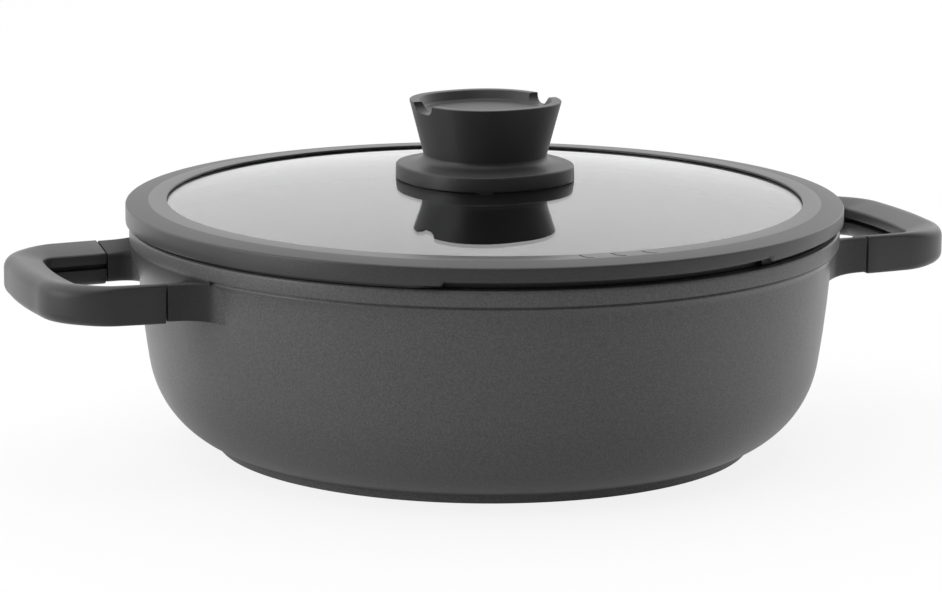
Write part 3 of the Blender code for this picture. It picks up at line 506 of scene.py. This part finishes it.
def rounded_square_body(corners):
    """Extrudes a rounded square row by row up or down an outline of (half size, height)."""
    wire = outline(corners)
    start = Vector((corners[0][0], 0, corners[0][1])) * MM
    rows, at, seen = [], min(wire.verts, key=lambda v: (v.co - start).length), set()
    while at:
        seen.add(at)
        rows.append((at.co.x / MM, at.co.z / MM))
        ahead = [e.other_vert(at) for e in at.link_edges if e.other_vert(at) not in seen]
        at = ahead[0] if ahead else None
    wire.free()
    bm = bmesh.new()
    row = rounded_square(bm, rows[0][0], rows[0][1])
    ring = list({e for v in row for e in v.link_edges})
    capped(bm, ring)
    for (a, z), (b, y) in zip(rows, rows[1:]):
        verts, ring = extruded(bm, ring)
        bmesh.ops.scale(bm, vec=(b / a, b / a, 1.0), verts=verts)
        bmesh.ops.translate(bm, vec=(0, 0, (y - z) * MM), verts=verts)
    capped(bm, ring)
    bmesh.ops.recalc_face_normals(bm, faces=bm.faces)
    return bm


def knob_cover():
    """Rubber over the core: dish, wall, waist, cove and flange, with a notch each side of the dish."""
    dish_a = TOP_A - KNOB_WALL
    slope = (TOP_A - NECK_A) / (TOP_Z - NECK_Z)
    neck_z = FLANGE_TOP_Z + CORE_CHAMFER
    core_a = NECK_A + (CORE_TOP_Z - NECK_Z) * slope - CORE_WALL + GAP
    neck_a = NECK_A + (neck_z - NECK_Z) * slope - CORE_WALL + GAP
    hollow_a = CORE_FLANGE_A + GAP
    shelf = FLANGE_Z + CORE_FLANGE_LIFT + CORE_FLANGE_T + GAP
    waist = (NECK_A - WAIST_IN, NECK_Z - WAIST_DROP)
    bend = (NECK_A - 0.3, FLANGE_TOP_Z + 0.25)
    flat = (FLANGE_A - COVE_END, FLANGE_TOP_Z)
    cove = []
    for i in range(1, COVE_STEPS):
        t = i / COVE_STEPS
        cove.append(tuple((1 - t) ** 2 * a + 2 * t * (1 - t) * b + t * t * c
                          for a, b, c in zip(waist, bend, flat)))
    bm = rounded_square_body(
        [(DISH_FLOOR_A, DISH_Z), (dish_a - DISH_DRAFT, DISH_Z, 1.0, 5), (dish_a, TOP_Z, 0.5, 4),
         (TOP_A, TOP_Z, 0.55, 5), (*waist, 0.15, 2)] + cove
        + [(FLANGE_A - 0.2, FLANGE_TOP_Z, 0.9, 5), (FLANGE_A, FLANGE_Z - 0.2, 0.35, 3),
           (hollow_a, FLANGE_Z), (hollow_a, shelf), (neck_a, shelf), (neck_a, neck_z),
           (core_a, CORE_TOP_Z - CORE_CHAMFER), (core_a - CORE_CHAMFER, CORE_TOP_Z)])
    tool = outline([(-NOTCH_W / 2, TOP_Z + 4.0), (-NOTCH_W / 2, NOTCH_Z, NOTCH_R, 10),
                    (NOTCH_W / 2, NOTCH_Z, NOTCH_R, 10), (NOTCH_W / 2, TOP_Z + 4.0)], closed=True)
    bmesh.ops.transform(tool, matrix=Matrix.Rotation(math.pi / 2, 4, "Z"), verts=tool.verts)
    bmesh.ops.translate(tool, vec=(-FLANGE_A * MM, 0, 0), verts=tool.verts)
    face = capped(tool, tool.edges[:])
    made = bmesh.ops.extrude_face_region(tool, geom=face)["geom"]
    bmesh.ops.translate(tool, vec=(2 * FLANGE_A * MM, 0, 0), verts=verts_in(made))
    turn = Matrix.Rotation(math.radians(KNOB_TURN), 4, "Z")
    bmesh.ops.transform(tool, matrix=turn, verts=tool.verts)
    bmesh.ops.recalc_face_normals(tool, faces=tool.faces)
    return cut(bm, tool)


# Finishes: effects that several of them share are node groups
def group(name, inputs, outputs):
    """A node group with its sockets, and its input and output nodes."""
    tree = bpy.data.node_groups.new(name, "ShaderNodeTree")
    for label, kind, value in inputs:
        socket = tree.interface.new_socket(name=label, in_out="INPUT", socket_type=kind)
        socket.default_value = value
    for label, kind in outputs:
        tree.interface.new_socket(name=label, in_out="OUTPUT", socket_type=kind)
    return tree, tree.nodes.new("NodeGroupInput"), tree.nodes.new("NodeGroupOutput")


def node(tree, kind, settings=None, **inputs):
    """A node with its settings, and its inputs by name: a value, or a socket to link."""
    made = tree.nodes.new("ShaderNode" + kind)
    for key, value in (settings or {}).items():
        setattr(made, key, value)
    for key, value in inputs.items():
        socket = made.inputs[int(key[1:])] if key[0] == "_" else made.inputs[key.replace("_", " ")]
        if isinstance(value, bpy.types.NodeSocket):
            tree.links.new(value, socket)
        else:
            socket.default_value = value
    return made


def maths(tree, operation, *values, clamp=False):
    """The result of a Math node."""
    made = node(tree, "Math", {"operation": operation, "use_clamp": clamp},
                **{"_%d" % i: v for i, v in enumerate(values)})
    return made.outputs[0]


def ramp(tree, value, low, high):
    """0 at low, 1 at high and smooth between them."""
    return node(tree, "MapRange", {"interpolation_type": "SMOOTHSTEP"}, Value=value, From_Min=low,
                From_Max=high, To_Min=0.0, To_Max=1.0).outputs[0]


def one_minus(tree, share):
    return maths(tree, "SUBTRACT", 1.0, share)


def axis_distance(tree, x, y):
    """Distance from the Z axis."""
    squares = [maths(tree, "MULTIPLY", v, v) for v in (x, y)]
    return maths(tree, "SQRT", maths(tree, "ADD", *squares))


def grain_group():
    """Two noises for a moulded or sprayed surface: a fine one and a broad one."""
    tree, given, out = group("surface_grain", [("Fine Scale", "NodeSocketFloat", 1500.0),
                                               ("Broad Scale", "NodeSocketFloat", 60.0)],
                             [("Fine", "NodeSocketFloat"), ("Broad", "NodeSocketFloat")])
    place = node(tree, "TexCoord").outputs["Object"]
    fine = node(tree, "TexNoise", Vector=place, Scale=given.outputs["Fine Scale"], Detail=3.0,
                Roughness=0.6)
    broad = node(tree, "TexNoise", Vector=place, Scale=given.outputs["Broad Scale"], Detail=2.0)
    tree.links.new(fine.outputs["Fac"], out.inputs["Fine"])
    tree.links.new(broad.outputs["Fac"], out.inputs["Broad"])
    return tree


def fleck_group():
    """Small light and dark flecks, as mica and pigment show in a sprayed coating."""
    tree, given, out = group("coating_flecks", [("Scale", "NodeSocketFloat", 900.0),
                                                ("Size", "NodeSocketFloat", 0.25)],
                             [("Light", "NodeSocketFloat"), ("Dark", "NodeSocketFloat")])
    place = node(tree, "TexCoord").outputs["Object"]
    cells = node(tree, "TexVoronoi", Vector=place, Scale=given.outputs["Scale"])
    near = one_minus(tree, ramp(tree, cells.outputs["Distance"], 0.02, given.outputs["Size"]))
    split = node(tree, "SeparateColor", Color=cells.outputs["Color"])
    light = maths(tree, "MULTIPLY", near, ramp(tree, split.outputs[0], 0.72, 0.95))
    dark = maths(tree, "MULTIPLY", near, ramp(tree, split.outputs[1], 0.6, 0.9))
    tree.links.new(light, out.inputs["Light"])
    tree.links.new(dark, out.inputs["Dark"])
    return tree


def turning_group():
    """Fine rings round the Z axis, as a lathe tool leaves them, by radius and by height."""
    tree, given, out = group("turned_rings", [("Pitch", "NodeSocketFloat", 0.0005)],
                             [("Flat", "NodeSocketFloat"), ("Side", "NodeSocketFloat")])
    place = node(tree, "SeparateXYZ", Vector=node(tree, "TexCoord").outputs["Object"])
    x, y, z = place.outputs
    for value, label in ((axis_distance(tree, x, y), "Flat"), (z, "Side")):
        turns = maths(tree, "DIVIDE", value, given.outputs["Pitch"])
        wave = maths(tree, "SINE", maths(tree, "MULTIPLY", turns, 2 * math.pi))
        rough = node(tree, "TexNoise", {"noise_dimensions": "1D"}, W=turns, Scale=0.7, Detail=2.0)
        tree.links.new(maths(tree, "MULTIPLY_ADD", wave, 0.3, rough.outputs["Fac"]), out.inputs[label])
    return tree


grain, flecks, turning = grain_group(), fleck_group(), turning_group()


def finish(name, roughness, **sockets):
    """A material with its plain values set on the shader, its tree and its shader."""
    mat = bpy.data.materials.new(name)
    mat.use_nodes = True
    shader = mat.node_tree.nodes["Principled BSDF"]
    shader.inputs["Roughness"].default_value = roughness
    for key, value in sockets.items():
        shader.inputs[key.replace("_", " ")].default_value = value
    return mat, mat.node_tree, shader


def placed(tree, which, **inputs):
    """Puts a node group in a material with that material's values, and gives its outputs."""
    made = tree.nodes.new("ShaderNodeGroup")
    made.node_tree = which
    for key, value in inputs.items():
        made.inputs[key.replace("_", " ")].default_value = value
    return made.outputs


def tinted(tree, shader, dark, light, share):
    """Base Color between two colours by a share."""
    mix = node(tree, "Mix", {"data_type": "RGBA"}, _0=share, _6=(*dark, 1.0), _7=(*light, 1.0))
    tree.links.new(mix.outputs[2], shader.inputs["Base Color"])


def bumped(tree, shader, height, distance, strength=1.0):
    bump = node(tree, "Bump", Height=height, Distance=distance, Strength=strength)
    tree.links.new(bump.outputs["Normal"], shader.inputs["Normal"])


def cast_coating():
    """Dark satin non-stick coating sprayed over the casting, with a fine fleck. Its colour carries painted
    shade: darker inside the pan and on the lugs and webs, which are also duller. The foot shows turning
    marks."""
    inside_r, inside_low_z, facing_in = 0.1412, 0.005, 0.01
    lug_top_z, lug_half_y, lug_r = (0.0846, 0.0862), (0.052, 0.062), (0.1428, 0.1460)
    foot_z = (0.0032, 0.0036)
    mat, tree, shader = finish("cast_coating", 0.42, Metallic=0.0, Specular_IOR_Level=0.5)
    spot = node(tree, "TexCoord").outputs
    place = node(tree, "SeparateXYZ", Vector=spot["Object"]).outputs
    facing = node(tree, "SeparateXYZ", Vector=spot["Normal"]).outputs
    flat = node(tree, "VectorMath", {"operation": "MULTIPLY"}, _0=spot["Object"], _1=(1.0, 1.0, 0.0))
    radius = node(tree, "VectorMath", {"operation": "LENGTH"}, _0=flat.outputs[0]).outputs["Value"]

    outward = maths(tree, "ADD", *[maths(tree, "MULTIPLY", place[i], facing[i]) for i in (0, 1)])
    # Painted shade: surfaces inside the pan that face inward get a darker colour.
    inside = maths(tree, "MULTIPLY", maths(tree, "LESS_THAN", outward, facing_in),
                   maths(tree, "LESS_THAN", radius, inside_r))
    inside = maths(tree, "MULTIPLY", inside, maths(tree, "GREATER_THAN", place[2], inside_low_z))
    across = maths(tree, "ABSOLUTE", place[1])
    # Painted shade: the lugs and the webs below the collar get a darker colour with less mottle; they are
    # also rougher.
    lug = maths(tree, "MULTIPLY", one_minus(tree, ramp(tree, place[2], *lug_top_z)),
                one_minus(tree, ramp(tree, across, *lug_half_y)))
    lug = maths(tree, "MULTIPLY", lug, ramp(tree, radius, *lug_r))

    noise = placed(tree, grain, Fine_Scale=1400.0, Broad_Scale=45.0)
    spots = placed(tree, flecks, Scale=1100.0, Size=0.42)
    fleck = maths(tree, "SUBTRACT", maths(tree, "MULTIPLY", spots["Light"], 0.4),
                  maths(tree, "MULTIPLY", spots["Dark"], 0.2))
    mottle = maths(tree, "MULTIPLY", ramp(tree, noise["Fine"], 0.3, 0.72), 0.62)
    tone = maths(tree, "ADD", mottle, fleck, clamp=True)
    contrast = maths(tree, "MULTIPLY_ADD", lug, -0.32, 0.4)
    tone = maths(tree, "MULTIPLY_ADD", maths(tree, "SUBTRACT", tone, 0.5), contrast, 0.5)
    # The darkening here is the painted shade inside the pan and on the lugs and webs.
    dark = maths(tree, "MULTIPLY_ADD", inside, 0.6, maths(tree, "MULTIPLY", lug, 0.42))
    tinted(tree, shader, (0.018, 0.018, 0.0185), (0.230, 0.230, 0.234),
           maths(tree, "SUBTRACT", tone, dark, clamp=True))

    satin = maths(tree, "MULTIPLY_ADD", noise["Broad"], 0.08, 0.32)
    rough = maths(tree, "MULTIPLY_ADD", lug, 0.22, satin)
    tree.links.new(rough, shader.inputs["Roughness"])

    rings = placed(tree, turning, Pitch=0.0009)
    foot = one_minus(tree, ramp(tree, place[2], *foot_z))
    height = maths(tree, "ADD", maths(tree, "MULTIPLY", noise["Fine"], 0.35),
                   maths(tree, "MULTIPLY", rings["Side"], foot))
    bumped(tree, shader, height, 0.00006)
    return mat


def rubber(name, roughness, sheen):
    """Matt silicone rubber without its tint: a sheen and a fine moulded grain."""
    mat, tree, shader = finish(name, roughness, Specular_IOR_Level=0.5, Sheen_Weight=sheen,
                               Sheen_Roughness=0.4)
    noise = placed(tree, grain, Fine_Scale=1800.0, Broad_Scale=35.0)
    bumped(tree, shader, noise["Fine"], 0.00003)
    return mat, tree, shader, noise


def even_silicone(name, dark, light, roughness, sheen):
    """Silicone in one tint with a faint mottle."""
    mat, tree, shader, noise = rubber(name, roughness, sheen)
    tinted(tree, shader, dark, light,
           maths(tree, "MULTIPLY_ADD", noise["Fine"], 0.7, maths(tree, "MULTIPLY", noise["Broad"], 0.3)))
    rough = maths(tree, "MULTIPLY_ADD", noise["Broad"], 0.08, roughness - 0.04)
    tree.links.new(rough, shader.inputs["Roughness"])
    return mat


def rim_silicone():
    """The lid rim's grey silicone: its outer facet has a painted shade, a darker tint, and is more matt
    than the rest.
    """
    mat, tree, shader, noise = rubber("rim_silicone", 0.36, 0.1)
    x, y, z = node(tree, "SeparateXYZ", Vector=node(tree, "TexCoord").outputs["Object"]).outputs
    # Painted shade: the outer facet of the rim's top is tinted darker.
    outer = maths(tree, "MULTIPLY", maths(tree, "GREATER_THAN", axis_distance(tree, x, y), FACET_R * MM),
                  maths(tree, "GREATER_THAN", z, (RIM_TOP_Z - 0.1) * MM))
    tinted(tree, shader, (0.020, 0.020, 0.0205), (0.078, 0.078, 0.079),
           maths(tree, "MULTIPLY_ADD", outer, -0.75, noise["Fine"], clamp=True))
    tree.links.new(maths(tree, "MULTIPLY_ADD", outer, 0.1, 0.36), shader.inputs["Roughness"])
    return mat


def clear_glass():
    """Tempered glass: clear, with a very faint waviness from the heat."""
    mat, tree, shader = finish("tempered_glass", 0.0, IOR=1.5, Transmission_Weight=1.0)
    noise = placed(tree, grain, Fine_Scale=40.0, Broad_Scale=14.0)
    tinted(tree, shader, (0.94, 0.95, 0.95), (0.97, 0.975, 0.975), noise["Broad"])
    bumped(tree, shader, noise["Broad"], 0.00002, 0.2)
    return mat


def turned_metal(name, dark, light, roughness, pitch):
    """Bare metal with the rings of a lathe tool."""
    mat, tree, shader = finish(name, roughness, Metallic=1.0)
    rings = placed(tree, turning, Pitch=pitch)
    noise = placed(tree, grain, Fine_Scale=2500.0, Broad_Scale=90.0)
    tinted(tree, shader, dark, light, maths(tree, "MULTIPLY_ADD", rings["Flat"], 0.5,
                                            maths(tree, "MULTIPLY", noise["Broad"], 0.5)))
    rough = maths(tree, "MULTIPLY_ADD", noise["Fine"], 0.12, roughness - 0.06)
    tree.links.new(rough, shader.inputs["Roughness"])
    bumped(tree, shader, maths(tree, "ADD", rings["Flat"], rings["Side"]), 0.00001, 0.6)
    return mat


def moulded(name, dark, light, roughness, **sockets):
    """A plain moulded plastic or rubber of the parts under the knob."""
    mat, tree, shader = finish(name, roughness, **sockets)
    noise = placed(tree, grain, Fine_Scale=2200.0, Broad_Scale=120.0)
    tinted(tree, shader, dark, light, noise["Broad"])
    rough = maths(tree, "MULTIPLY_ADD", noise["Fine"], 0.1, roughness - 0.05)
    tree.links.new(rough, shader.inputs["Roughness"])
    bumped(tree, shader, noise["Fine"], 0.00002)
    return mat


grip_rubber = even_silicone("grip_silicone", (0.028, 0.028, 0.029), (0.046, 0.046, 0.047), 0.44, 0.25)
knob_rubber = even_silicone("knob_silicone", (0.018, 0.018, 0.0185), (0.034, 0.034, 0.035), 0.46, 0.1)

piece(casting(), "pan_casting", "pan", "pan_body", cast_coating())
piece(grip(-1), "left_grip_sleeve", "pan", "left_handle_grip", grip_rubber)
piece(grip(1), "right_grip_sleeve", "pan", "right_handle_grip", grip_rubber)
piece(glass_disc(), "domed_glass", "lid", "lid_glass", clear_glass())
piece(rubber_rim(), "vented_rim", "lid", "lid_rim", rim_silicone())
piece(knob_cover(), "spoon_rest_knob", "lid", "knob_grip", knob_rubber)

steel = turned_metal("plain_stainless", (0.50, 0.50, 0.51), (0.66, 0.66, 0.67), 0.28, 0.0003)
for name, mat in (
        ("induction_base_disc", turned_metal("base_steel_turned", (0.46, 0.46, 0.47), (0.62, 0.62, 0.63),
                                             0.3, 0.0006)),
        ("knob_core", moulded("black_phenolic", (0.022, 0.022, 0.022), (0.034, 0.034, 0.034), 0.4)),
        ("knob_insert", turned_metal("turned_brass", (0.64, 0.47, 0.20), (0.78, 0.61, 0.30),
                                     0.3, 0.0004)),
        ("knob_gasket", moulded("milky_silicone", (0.66, 0.66, 0.64), (0.74, 0.74, 0.72), 0.5,
                                Subsurface_Weight=0.2, Subsurface_Scale=0.002)),
        ("glass_bushing", moulded("white_nylon", (0.76, 0.76, 0.74), (0.83, 0.83, 0.81), 0.45)),
        ("knob_washer", steel), ("knob_screw", steel)):
    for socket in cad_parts[name].material_slots:
        socket.material = mat


# Studio: white floor and surroundings, soft light
SIGHT_LINE, SIGHT_RIGHT = (-0.3645, -0.9312, 0.0), (0.9312, -0.3645, 0.0)
FLOOR_R, FLOOR_SIDES = 6.0, 96


def dimness(tree, toward, left, right_hand):
    """1 towards the unlit room behind the camera, 0 round the white sweep at the sides and back.
    Each side fades between two angles from the direction to the camera, in radians."""
    front, right = (node(tree, "VectorMath", {"operation": "DOT_PRODUCT"}, _0=toward, _1=way)
                    for way in (SIGHT_LINE, SIGHT_RIGHT))
    turn = maths(tree, "ARCTAN2", right.outputs["Value"], front.outputs["Value"])
    return maths(tree, "MULTIPLY", ramp(tree, turn, *left), one_minus(tree, ramp(tree, turn, *right_hand)))


def surroundings():
    """White to the camera. As light, dim in front up to high overhead and stronger above the sides."""
    world = bpy.data.worlds.new("white_studio")
    world.use_nodes = True
    scene.world = world
    tree = world.node_tree
    tree.nodes.clear()
    path = node(tree, "LightPath")
    toward = node(tree, "TexCoord").outputs["Generated"]
    height = node(tree, "SeparateXYZ", Vector=toward).outputs[2]
    shade = maths(tree, "MULTIPLY", dimness(tree, toward, (-1.25, -0.6), (1.05, 2.4)),
                  one_minus(tree, ramp(tree, height, 0.84, 1.0)))
    over = maths(tree, "MULTIPLY_ADD", ramp(tree, height, 0.1, 0.5), 0.4, 1.0)
    dim = maths(tree, "MULTIPLY", over, maths(tree, "MULTIPLY_ADD", shade, -0.92, 1.0))
    light = node(tree, "Background", Color=(1.0, 1.0, 1.0, 1.0), Strength=dim)
    white = node(tree, "Background", Color=(1.0, 1.0, 1.0, 1.0), Strength=1.0)
    mix = node(tree, "MixShader", _0=path.outputs["Is Camera Ray"], _1=light.outputs[0],
               _2=white.outputs[0])
    tree.links.new(mix.outputs[0], node(tree, "OutputWorld").inputs["Surface"])


def floor():
    """A pale floor that keeps the pan's shadow, with a glow that is weaker in front of the pan."""
    mat = bpy.data.materials.new("white_floor")
    mat.use_nodes = True
    tree = mat.node_tree
    shader = tree.nodes["Principled BSDF"]
    shader.inputs["Roughness"].default_value = 0.9
    path = node(tree, "LightPath").outputs
    camera_ray = path["Is Camera Ray"]
    seen = maths(tree, "MAXIMUM", camera_ray,
                 maths(tree, "MAXIMUM", path["Is Glossy Ray"], path["Is Transmission Ray"]))
    spot = node(tree, "TexCoord").outputs["Object"]
    shade = maths(tree, "MULTIPLY", dimness(tree, spot, (-1.8, -1.0), (0.4, 1.3)),
                  one_minus(tree, camera_ray))
    tinted(tree, shader, (0.9, 0.9, 0.9), (0.52, 0.52, 0.52), shade)
    glow = node(tree, "Emission", Color=(1.0, 1.0, 1.0, 1.0),
                Strength=maths(tree, "MULTIPLY_ADD", shade, -0.38, 1.0))
    share = maths(tree, "MULTIPLY_ADD", camera_ray, 0.4, maths(tree, "MULTIPLY_ADD", seen, 0.15, 0.3))
    mix = node(tree, "MixShader", _0=share, _1=shader.outputs[0], _2=glow.outputs[0])
    tree.links.new(mix.outputs[0], tree.nodes["Material Output"].inputs["Surface"])
    bm = bmesh.new()
    bmesh.ops.create_circle(bm, cap_ends=True, segments=FLOOR_SIDES, radius=FLOOR_R)
    mesh = bpy.data.meshes.new("studio_floor")
    bm.to_mesh(mesh)
    bm.free()
    mesh.materials.append(mat)
    obj = bpy.data.objects.new("studio_floor", mesh)
    scene.collection.objects.link(obj)


def lamps():
    """Three weak round softboxes, all turned to the middle of the pan."""
    aim = Vector((0, 0, 0.06))
    for name, spot, size, power in (("left_softbox", (-1.85, -0.12, 0.5), 1.2, 8.0),
                                    ("right_softbox", (1.7, 1.3, 1.0), 1.2, 4.0),
                                    ("top_softbox", (-0.2, -0.6, 2.2), 1.8, 10.0)):
        lamp = bpy.data.lights.new(name, "AREA")
        lamp.shape, lamp.size, lamp.energy = "DISK", size, power
        box = bpy.data.objects.new(name, lamp)
        box.location = spot
        box.rotation_euler = (aim - Vector(spot)).to_track_quat("-Z", "Y").to_euler()
        scene.collection.objects.link(box)


def camera():
    """The photograph's viewpoint: 11.5 degrees above the table and 21.4 degrees round from the vent.
    Lengths are in lid radii from the lid's rim, angles in radians, the lens in the picture's pixels."""
    unit, rim_z, up, roll, around, reach = 0.148, 0.1008, 0.2003, 0.0068, 0.3731, 11.3
    aside, below, focus, picture_w, sensor = -0.0361, -0.2745, 4046.5, 942, 36.0
    back = Vector((0, -math.cos(up), math.sin(up)))
    right, above = Vector((1, 0, 0)), Vector((0, math.sin(up), math.cos(up)))
    across = right * math.cos(roll) + above * math.sin(roll)
    over = above * math.cos(roll) - right * math.sin(roll)
    spot = (right * aside + Vector((0, 0, below)) + back * reach) * unit + Vector((0, 0, rim_z))
    turn = Matrix((across, over, back)).transposed().to_4x4()
    cam = bpy.data.cameras.new("camera")
    cam.sensor_width, cam.lens = sensor, focus / picture_w * sensor
    obj = bpy.data.objects.new("camera", cam)
    obj.matrix_world = Matrix.Rotation(-around, 4, "Z") @ Matrix.Translation(spot) @ turn
    scene.collection.objects.link(obj)
    scene.camera = obj


surroundings()
floor()
lamps()
camera()
scene.view_settings.view_transform = "Standard"
